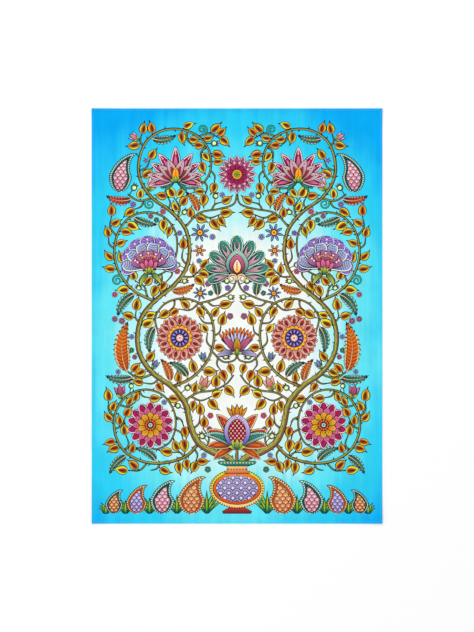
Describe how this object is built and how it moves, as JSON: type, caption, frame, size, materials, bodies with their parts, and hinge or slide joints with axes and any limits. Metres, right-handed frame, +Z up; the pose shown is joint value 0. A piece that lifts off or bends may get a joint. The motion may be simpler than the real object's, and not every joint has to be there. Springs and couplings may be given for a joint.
{
  "type": "kalamkari panel",
  "caption": "Flat rectangular cotton panel with a narrow turned hem, painted and dyed with a flowering scroll design on a sky-blue ground, lying face up.",
  "frame": {"origin": "under the middle of the cloth, on the surface it lies on", "axes": "+X across the cloth, +Y towards the upper edge of the design, +Z up out of the painted face"},
  "size_m": [0.7112, 1.016, 0.0024],
  "materials": {
    "dyed_cotton": "matte plain-weave cotton, hand painted and dyed"
  },
  "bodies": {
    "root": {"panel": "dyed_cotton"}
  },
  "joints": []
}
